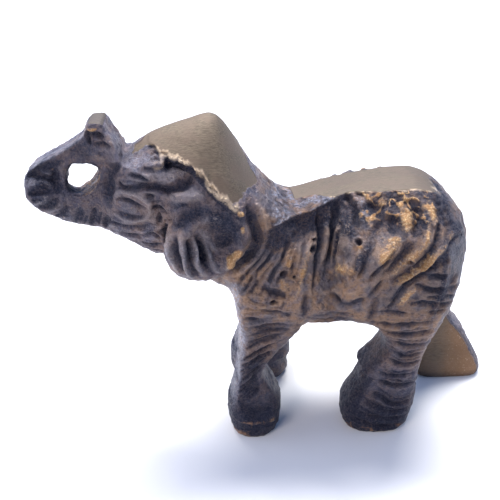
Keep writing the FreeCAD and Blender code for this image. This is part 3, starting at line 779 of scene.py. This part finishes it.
def hide(points, normals):
    """All the relief and the patina on the casting."""
    relief = Relief(points, normals)
    x, y, z = points.T
    relief.warp = 0.3 * np.column_stack([noise(points, 2.6, 11), noise(points, 2.6, 12)])
    relief.warp += 0.12 * np.column_stack([noise(points, 0.9, 13), noise(points, 0.9, 14)])
    at = find_zones(points, normals)
    at.head_side = ease(-x - 0.5 * (38 - z), 5, 8)
    loop_x, loop_z = x + LOOP_LEAN[0] * y, z + LOOP_LEAN[1] * y
    near_loop = np.flatnonzero((loop_x + 31) ** 2 + (loop_z - 44.6) ** 2 < 16)
    at.loop_wall = np.zeros(len(x))
    loop_gap = outline_distance(LOOP, loop_x[near_loop], loop_z[near_loop])
    at.loop_wall[near_loop] = ease(-loop_gap, -0.5, -0.15)
    cut_sides(relief, at)
    cut_ends(relief, at)
    roughen(relief, at)
    layers = relief.layers
    blacken(layers["dark"], points, normals, at)
    brighten(layers, points, normals, at)
    layers["filed"] = np.clip(at.filed + 0.8 * at.spine + 0.8 * at.tip + 0.62 * at.inner_face, 0, 1)
    low_down = ease(-z, -16, -10) * (1 - 0.4 * at.inner) + 0.4 * ease(-z, -22, -19)
    layers["cool"] = np.clip(at.head_side + low_down, 0, 1)
    layers["cool"] *= 0.75 - 0.35 * patch(x, z, (-17, 40), (4.5, 4))
    layers["relief"] = relief.height
    for values in layers.values():
        np.clip(values, -1, 1, out=values)
    layers["dark"] *= 1 - 0.7 * np.clip(layers["gold"], 0, 1)
    return relief


# ---------------------------------------------------------------- pieces

def raw_mesh(name, points, faces):
    """A mesh whose faces all have the same number of corners."""
    mesh = bpy.data.meshes.new(name)
    mesh.vertices.add(len(points))
    mesh.vertices.foreach_set("co", points.astype(np.float32).ravel())
    count, size = faces.shape
    mesh.loops.add(count * size)
    mesh.loops.foreach_set("vertex_index", faces.astype(np.int32).ravel())
    mesh.polygons.add(count)
    mesh.polygons.foreach_set("loop_start", np.arange(0, count * size, size, dtype=np.int32))
    mesh.update(calc_edges=True)
    return mesh


def read_normals(mesh):
    """The normals at a mesh's vertices."""
    values = np.empty(len(mesh.vertices) * 3, np.float32)
    mesh.vertex_normals.foreach_get("vector", values)
    return values.reshape(-1, 3).astype(float)


def carve(name, points, quads, marker):
    """A mesh in the sculpt's units with its relief carved in and its patina kept as attributes."""
    mesh = raw_mesh(name, points, quads)
    relief = marker(points.astype(float), read_normals(mesh))
    moved = points + relief.normals * relief.height[:, None]
    moved[:, 2] = np.maximum(moved[:, 2], 0)
    mesh.vertices.foreach_set("co", moved.astype(np.float32).ravel())
    mesh.update()
    for layer in LAYERS:
        values = relief.layers[layer].astype(np.float32)
        mesh.attributes.new(layer, "FLOAT", "POINT").data.foreach_set("value", values)
    values = read_normals(mesh).astype(np.float32).ravel()
    mesh.attributes.new("hide_normal", "FLOAT_VECTOR", "POINT").data.foreach_set("vector", values)
    return mesh


def shell_of(mesh):
    """A smoothly shaded copy of a mesh, ready to be cut."""
    shell = bmesh.new()
    shell.from_mesh(mesh)
    for face in shell.faces:
        face.smooth = True
    return shell


def split(shell, place, normal, where=None):
    """Cut a closed shell with a plane and close both parts; where() picks which faces are cut off."""
    place, normal = Vector(place), Vector(normal).normalized()
    chosen = [face for face in shell.faces if where is None or where(face.calc_center_median())]
    edges = {edge for face in chosen for edge in face.edges}
    verts = {vert for face in chosen for vert in face.verts}
    geometry = list(verts) + list(edges) + chosen
    bmesh.ops.bisect_plane(shell, geom=geometry, dist=1e-5, plane_co=place, plane_no=normal)
    beyond = []
    for face in shell.faces:
        center = face.calc_center_median()
        beyond.append((center - place).dot(normal) > 0 and (where is None or where(center)))
    parts = []
    for wanted in (True, False):
        part = shell.copy()
        part.faces.ensure_lookup_table()
        gone = [part.faces[index] for index, far in enumerate(beyond) if far != wanted]
        bmesh.ops.delete(part, geom=gone, context="FACES")
        rim = [edge for edge in part.edges if edge.is_boundary]
        caps = bmesh.ops.holes_fill(part, edges=rim, sides=0)["faces"]
        for face in caps:
            face.smooth = False
            face.material_index = 0
            for edge in face.edges:
                edge.smooth = False
        bmesh.ops.triangulate(part, faces=caps)
        parts.append(part)
    shell.free()
    return parts


def finish_piece(name, shell):
    """Turn a shell into the frame's node of that name."""
    mesh = bpy.data.meshes.new(name)
    shell.to_mesh(mesh)
    shell.free()
    mesh.transform(Matrix.Scale(UNIT, 4))
    count = len(mesh.loops)
    loops = np.empty(count, np.int32)
    mesh.loops.foreach_get("vertex_index", loops)
    kept = np.empty(len(mesh.vertices) * 3, np.float32)
    mesh.attributes["hide_normal"].data.foreach_get("vector", kept)
    kept = kept.reshape(-1, 3)[loops]
    smooth = np.empty(len(mesh.polygons), bool)
    mesh.polygons.foreach_get("use_smooth", smooth)
    sizes = np.empty(len(mesh.polygons), np.int32)
    mesh.polygons.foreach_get("loop_total", sizes)
    flat_loops = np.repeat(~smooth, sizes)
    kept[flat_loops] = 0.0
    mesh.attributes.remove(mesh.attributes["hide_normal"])
    mesh.normals_split_custom_set(kept)
    mesh.materials.append(brass)
    piece = bpy.data.objects.new(name, mesh)
    bpy.context.scene.collection.objects.link(piece)
    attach(piece, "root")
    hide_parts(name)
    return piece


# ---------------------------------------------------------------- the patina

class Nodes:
    """Shorthand for one material's node tree."""

    def __init__(self, material):
        material.use_nodes = True
        self.tree = material.node_tree
        self.shader = self.tree.nodes["Principled BSDF"]

    def add(self, kind, inputs=None, **settings):
        node = self.tree.nodes.new(kind)
        for key, value in settings.items():
            setattr(node, key, value)
        for key, value in (inputs or {}).items():
            self.set(node.inputs[key], value)
        return node

    def set(self, socket, value):
        if isinstance(value, bpy.types.NodeSocket):
            self.tree.links.new(value, socket)
        else:
            socket.default_value = value

    def math(self, operation, a, b=0.0, clamp=False):
        return self.add("ShaderNodeMath", {0: a, 1: b}, operation=operation, use_clamp=clamp).outputs[0]

    def mix(self, factor, a, b):
        node = self.add("ShaderNodeMix", {0: factor}, data_type="RGBA")
        self.set(node.inputs[6], a)
        self.set(node.inputs[7], b)
        return node.outputs[2]

    def blend(self, factor, a, b):
        return self.add("ShaderNodeMix", {0: factor, 2: a, 3: b}, data_type="FLOAT").outputs[0]

    def scaled(self, vector, *factors):
        factors = tuple(factor / UNIT for factor in factors)
        return self.add("ShaderNodeVectorMath", {0: vector, 1: factors}, operation="MULTIPLY").outputs[0]

    def times(self, a, b, clamp=False):
        return self.math("MULTIPLY", a, b, clamp)

    def speckled(self, value, grain):
        """A value whose border is broken up by the grain."""
        broken = self.times(self.math("SUBTRACT", grain, 0.5), 1.8)
        return self.step(self.math("ADD", value, broken), 0.2, 0.9)

    def attribute(self, name):
        return self.add("ShaderNodeAttribute", attribute_name=name).outputs["Fac"]

    def noise(self, place, scale, detail=3.0, roughness=0.55):
        return self.add("ShaderNodeTexNoise", {"Vector": place, "Scale": scale, "Detail": detail,
                                               "Roughness": roughness}).outputs["Fac"]

    def step(self, value, start, end):
        return self.add("ShaderNodeMapRange", {"Value": value, "From Min": start, "From Max": end},
                        interpolation_type="SMOOTHSTEP").outputs[0]


UMBER = (0.140, 0.118, 0.128, 1)
RUST = (0.270, 0.168, 0.110, 1)
MAUVE = (0.15, 0.14, 0.18, 1)
SLATE_DEEP = (0.095, 0.095, 0.145, 1)
SLATE_PALE = (0.165, 0.140, 0.165, 1)
PALE_WARM = (0.37, 0.27, 0.21, 1)
PALE_COOL = (0.30, 0.27, 0.28, 1)
PITS = (0.026, 0.026, 0.045, 1)
WEAR_AND_HIGHLIGHT_WARM = (0.33, 0.24, 0.19, 1)
WEAR_AND_HIGHLIGHT_COOL = (0.25, 0.235, 0.26, 1)
BLOOM_AND_SHEEN = (0.28, 0.29, 0.36, 1)
BLACK = (0.014, 0.017, 0.036, 1)
GOLD_DEEP = (0.36, 0.205, 0.100, 1)
GOLD_PALE = (0.54, 0.39, 0.22, 1)
COPPER = (0.27, 0.155, 0.095, 1)
FILED_DEEP = (0.092, 0.070, 0.049, 1)
FILED_PALE = (0.150, 0.114, 0.079, 1)
FILED_BROWN = (0.134, 0.095, 0.069, 1)
FILED_GOLD = (0.27, 0.150, 0.080, 1)
FILED_BLACK = (0.045, 0.042, 0.044, 1)
CHIPS_AND_GLINTS = (0.56, 0.44, 0.32, 1)


def patina():
    """Cast brass under a dark patina: bright where it was filed or has worn, black in the recesses, with
    painted glints, painted highlights and painted shade on top.
    """
    material = bpy.data.materials.new("patinated_brass")
    n = Nodes(material)
    object_place = n.add("ShaderNodeTexCoord").outputs["Object"]
    place = n.scaled(object_place, 1, 1, 1)
    stretched = n.scaled(object_place, 0.35, 2.2, 2.2)
    dark, gold, filed, frost, copper, edge, relief, cool = (n.attribute(layer) for layer in LAYERS)
    broad = n.noise(place, 0.30, 4.0)
    blotch = n.noise(place, 0.85, 4.0, 0.6)
    grain = n.noise(place, 1.9, 4.0, 0.68)
    fine = n.noise(place, 3.4, 3.0, 0.7)
    scratch = n.noise(stretched, 2.6, 3.0, 0.7)
    warm = n.mix(n.step(broad, 0.40, 0.60), UMBER, RUST)
    warm = n.mix(n.times(n.step(blotch, 0.50, 0.62), 0.4), warm, MAUVE)
    slate = n.mix(n.step(blotch, 0.42, 0.60), SLATE_DEEP, SLATE_PALE)
    color = n.mix(n.times(cool, n.blend(n.step(blotch, 0.42, 0.58), 1.0, 0.55)), warm, slate)
    pale = n.mix(cool, PALE_WARM, PALE_COOL)
    color = n.mix(n.times(n.step(grain, 0.53, 0.68), 0.4), color, pale)
    color = n.mix(n.times(n.step(grain, 0.48, 0.34), 0.6), color, PITS)
    # raised relief paler: partly wear on the ridges, partly painted highlight on the lips of the grooves
    wear_and_highlight = n.mix(cool, WEAR_AND_HIGHLIGHT_WARM, WEAR_AND_HIGHLIGHT_COOL)
    color = n.mix(n.times(n.step(relief, 0.04, 0.4), 0.5), color, wear_and_highlight)
    # pale bloom in the hide, and painted sheen on the fore legs' fronts and the loop's lit wall
    color = n.mix(n.times(frost, n.step(fine, 0.40, 0.58), clamp=True), color, BLOOM_AND_SHEEN)
    sunk = n.times(n.step(relief, 0.0, -0.35), 0.8)
    # the dark attribute holds the patina and also the painted shade under the crown's rim, under the far hind
    # foot, on the hind legs' fronts and inside the loop
    patina_and_painted_shade = n.times(dark, n.step(fine, 0.62, 0.42), clamp=True)
    patina_and_painted_shade = n.math("ADD", n.times(dark, 0.72), n.times(patina_and_painted_shade, 0.28), clamp=True)
    black = n.math("MAXIMUM", sunk, patina_and_painted_shade)
    color = n.mix(black, color, BLACK)
    # worn gold, which also carries the painted highlight on the lit wall of the loop
    worn = n.speckled(gold, grain)
    color = n.mix(worn, color, n.mix(n.step(fine, 0.5, 0.62), GOLD_DEEP, GOLD_PALE))
    color = n.mix(n.speckled(copper, grain), color, COPPER)
    bare = n.mix(n.step(scratch, 0.35, 0.65), FILED_DEEP, FILED_PALE)
    bare = n.mix(n.times(n.step(broad, 0.42, 0.56), 0.6), bare, FILED_BROWN)
    bare = n.mix(gold, bare, FILED_GOLD)
    bare = n.mix(n.times(dark, 0.6), bare, FILED_BLACK)
    smooth = n.step(n.math("ADD", filed, n.times(n.math("SUBTRACT", fine, 0.5), 0.5)), 0.35, 0.6)
    color = n.mix(smooth, color, bare)
    # painted glints: tiny bright specks on the raised parts, mixed with the chipped edges into one pale
    # colour
    painted_glint = n.times(n.step(fine, 0.62, 0.68), n.step(n.math("ADD", relief, gold), 0.1, 0.7))
    bright = n.math("MAXIMUM", n.times(edge, n.step(grain, 0.30, 0.50)), n.times(painted_glint, 0.7))
    color = n.mix(bright, color, CHIPS_AND_GLINTS)
    n.set(n.shader.inputs["Base Color"], color)
    shiny = n.math("MAXIMUM", n.times(worn, 0.7), bright)
    n.set(n.shader.inputs["Metallic"], n.blend(shiny, n.blend(smooth, 0.6, 0.4), 0.9))
    dull = n.blend(black, n.blend(blotch, 0.50, 0.30), 0.50)
    n.set(n.shader.inputs["Roughness"], n.blend(smooth, n.blend(shiny, dull, 0.38), 0.64))
    height = n.math("ADD", grain, n.times(fine, 0.5))
    height = n.blend(smooth, height, n.times(scratch, 0.08))
    bump = n.add("ShaderNodeBump", {"Strength": 1.0, "Distance": 0.6 * UNIT, "Height": height})
    n.set(n.shader.inputs["Normal"], bump.outputs[0])
    return material


brass = patina()

# ---------------------------------------------------------------- cutting the casting into its pieces

NECK_CUT = ((-3.0, 0, 35), (-0.93, 0, 0.36))             # a place on the cut, and the way it faces
LOOP_CUT = ((-28.6, 0, 46.2), (-0.53, 0, 0.85))
ELBOW_FACING = (-0.32, 0, -0.94)
ELBOW_X = -2.0
ELBOW_RISE, THIGH_DROP = 1.2, 2.2                        # of the legs' cuts, from under the torso's box
MID_BELLY = 7.0                                          # X halfway between the fore and hind legs
EAR_ROOT = 2.4                                           # out from the inner side of the ear's box
TIP_ROOT = 0.6                                           # down from the underside of the tip's box
whole = shell_of(carve("casting", *surface(sculpt(), LOW, CELL), hide))

seam_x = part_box("trunk_root")[1][0] / UNIT
bend_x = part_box("trunk_bend")[1][0] / UNIT
root_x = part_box("trunk_root")[0][0] / UNIT
tip_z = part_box("trunk_tip")[0][2] / UNIT
ear_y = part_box("ear_right")[0][1] / UNIT + EAR_ROOT
rest_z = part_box("torso")[0][2] / UNIT

head_shell, torso_shell = split(whole, *NECK_CUT)
trunk_shell, head_shell = split(head_shell, (seam_x, 0, 0), (-1, 0, 0))
pieces = {}
pieces["ear_left"], head_shell = split(head_shell, (0, -ear_y, 0), (0, -1, 0))
pieces["ear_right"], pieces["head"] = split(head_shell, (0, ear_y, 0), (0, 1, 0))
pieces["trunk_tip"], trunk_shell = split(trunk_shell, (0, 0, tip_z - TIP_ROOT), (0, 0, 1))
pieces["trunk_bend"], trunk_shell = split(trunk_shell, (bend_x, 0, 0), (-1, 0, 0))
pieces["trunk_upper"], trunk_shell = split(trunk_shell, *LOOP_CUT)
pieces["trunk_lower"], pieces["trunk_root"] = split(trunk_shell, (root_x, 0, 0), (-1, 0, 0))
elbow = (ELBOW_X, 0, rest_z + ELBOW_RISE)
legs, torso_shell = split(torso_shell, elbow, ELBOW_FACING, lambda at: at.x < MID_BELLY)
pieces["leg_front_left"], pieces["leg_front_right"] = split(legs, (0, 0, 0), (0, -1, 0))
legs, pieces["torso"] = split(torso_shell, (20, 0, rest_z - THIGH_DROP), (0, 0, -1),
                              lambda at: at.x > MID_BELLY)
pieces["leg_hind_left"], pieces["leg_hind_right"] = split(legs, (0, 0, 0), (0, -1, 0))

TAIL_LINE = np.array([(27.6, 37.6), (29.2, 35.2), (30.0, 32.6), (30.2, 30.0), (29.9, 27.0), (29.2, 24.4),
                      (28.6, 22.0), (28.6, 20.4)])
TAIL_THICK = curve([(19, 1.0), (21, 1.5), (23.5, 1.2), (28, 1.1), (36, 1.2), (40, 1.3)])


def tail():
    """The tail, a cord that lies down the rump and ends in a tuft."""
    low, cell = np.array([25.0, -3.0, 17.5]), 0.2
    x, y, z = lattice(low, np.array([34.5, 3.0, 42.0]), cell)
    line = spline(TAIL_LINE, 4)
    best = np.inf
    for (ax, az), (bx, bz) in zip(line[:-1], line[1:]):
        t = np.clip(((x - ax) * (bx - ax) + (z - az) * (bz - az)) / ((bx - ax) ** 2 + (bz - az) ** 2), 0, 1)
        gap = np.sqrt((x - ax - t * (bx - ax)) ** 2 + y ** 2 + (z - az - t * (bz - az)) ** 2)
        best = np.minimum(best, gap - TAIL_THICK(az + t * (bz - az)))
    return surface(best, low, cell)


def tail_relief(points, normals):
    """Twisted strands down the tail and in its tuft."""
    relief = Relief(points, normals)
    x, y, z = points.T
    angle = np.arctan2(y, x - np.interp(z, TAIL_LINE[::-1, 1], TAIL_LINE[::-1, 0]))
    strand = np.sin(5 * angle + 1.6 * z)
    relief.height += 0.13 * strand + 0.08 * rough(points, 1.2, 201)
    relief.layers["dark"] = np.clip(-strand, 0, 1) * 0.8
    relief.layers["gold"] = 0.6 * ease(strand + rough(points, 1.5, 205), 0.9, 1.5)
    relief.layers["relief"] = relief.height
    return relief


pieces["tail"] = shell_of(carve("tail", *tail(), tail_relief))
for name, shell in pieces.items():
    finish_piece(name, shell)
bpy.data.meshes.remove(bpy.data.meshes["casting"])

# ---------------------------------------------------------------- stage, light and camera

floor_mesh = bpy.data.meshes.new("floor")
HALF_FLOOR = 40.0                                       # metres, so that its edge is past the horizon
corners = [(x * HALF_FLOOR, y * HALF_FLOOR, 0) for x, y in ((-1, -1), (1, -1), (1, 1), (-1, 1))]
floor_mesh.from_pydata(corners, [], [(0, 1, 2, 3)])
floor = bpy.data.objects.new("floor", floor_mesh)
paper = bpy.data.materials.new("paper")
paper.use_nodes = True
paper_shader = paper.node_tree.nodes["Principled BSDF"]
paper_shader.inputs["Base Color"].default_value = (0.73, 0.73, 0.74, 1)
paper_shader.inputs["Roughness"].default_value = 0.9
floor.data.materials.append(paper)
bpy.context.scene.collection.objects.link(floor)


def aim(item, azimuth, elevation, distance, target=(0, 0, 0.025)):
    """Place a light round the figure; azimuth 0 is in front, 90 past the rump, 180 behind."""
    around, up = math.radians(azimuth), math.radians(elevation)
    offset = Vector((math.sin(around) * math.cos(up), -math.cos(around) * math.cos(up), math.sin(up)))
    item.location = Vector(target) + offset * distance
    item.rotation_euler = (-offset).to_track_quat("-Z", "Y").to_euler()
    bpy.context.scene.collection.objects.link(item)


def sun(name, azimuth, elevation, strength, softness, color):
    light = bpy.data.lights.new(name, "SUN")
    light.energy, light.angle, light.color = strength, math.radians(softness), color
    aim(bpy.data.objects.new(name, light), azimuth, elevation, 1.0)


def softbox(name, azimuth, elevation, distance, size, power, color):
    light = bpy.data.lights.new(name, "AREA")
    light.size, light.energy, light.color = size, power, color
    aim(bpy.data.objects.new(name, light), azimuth, elevation, distance)


sun("behind_left", 211, 60, 3.9, 22, (1.0, 0.98, 0.95))
sun("behind_right", 157, 60, 3.9, 22, (1.0, 0.98, 0.95))
softbox("rim_left", -100, 16, 0.35, 0.22, 0.5, (0.75, 0.84, 1.0))
softbox("rim_right", 100, 18, 0.35, 0.22, 0.25, (0.72, 0.82, 1.0))
softbox("front_fill", -40, 28, 0.35, 0.16, 0.8, (1.0, 0.90, 0.82))

world = bpy.data.worlds.new("studio")
bpy.context.scene.world = world
world.use_nodes = True
tree = world.node_tree
direction = tree.nodes.new("ShaderNodeTexCoord")
apart = tree.nodes.new("ShaderNodeSeparateXYZ")
ramp = tree.nodes.new("ShaderNodeMapRange")
for setting, value in (("From Min", -0.9), ("From Max", 0.5), ("To Min", 0.34), ("To Max", 0.78)):
    ramp.inputs[setting].default_value = value
tree.links.new(direction.outputs["Generated"], apart.inputs[0])
tree.links.new(apart.outputs["Y"], ramp.inputs["Value"])
background = tree.nodes["Background"]
background.inputs["Color"].default_value = (0.33, 0.52, 1.0, 1)
tree.links.new(ramp.outputs[0], background.inputs["Strength"])

VIEW_AZIMUTH = -3.0
VIEW_ELEVATION = 30.0
VIEW_DISTANCE = 0.115
VIEW_LENS = 49.68                                       # millimetres, on a sensor 36 mm wide
AIM = Vector((-5 * UNIT, 0, 30.5 * UNIT))
camera_data = bpy.data.cameras.new("camera")
camera_data.sensor_width = 36.0
camera_data.lens = VIEW_LENS
camera_data.clip_start = 0.01
camera = bpy.data.objects.new("camera", camera_data)
turn, up = math.radians(VIEW_AZIMUTH), math.radians(VIEW_ELEVATION)
sight = Vector((-math.sin(turn) * math.cos(up), math.cos(turn) * math.cos(up), -math.sin(up)))
camera.location = AIM - sight * VIEW_DISTANCE
camera.rotation_euler = sight.to_track_quat("-Z", "Y").to_euler()
bpy.context.scene.collection.objects.link(camera)
bpy.context.scene.camera = camera
bpy.context.scene.view_settings.view_transform = "Standard"
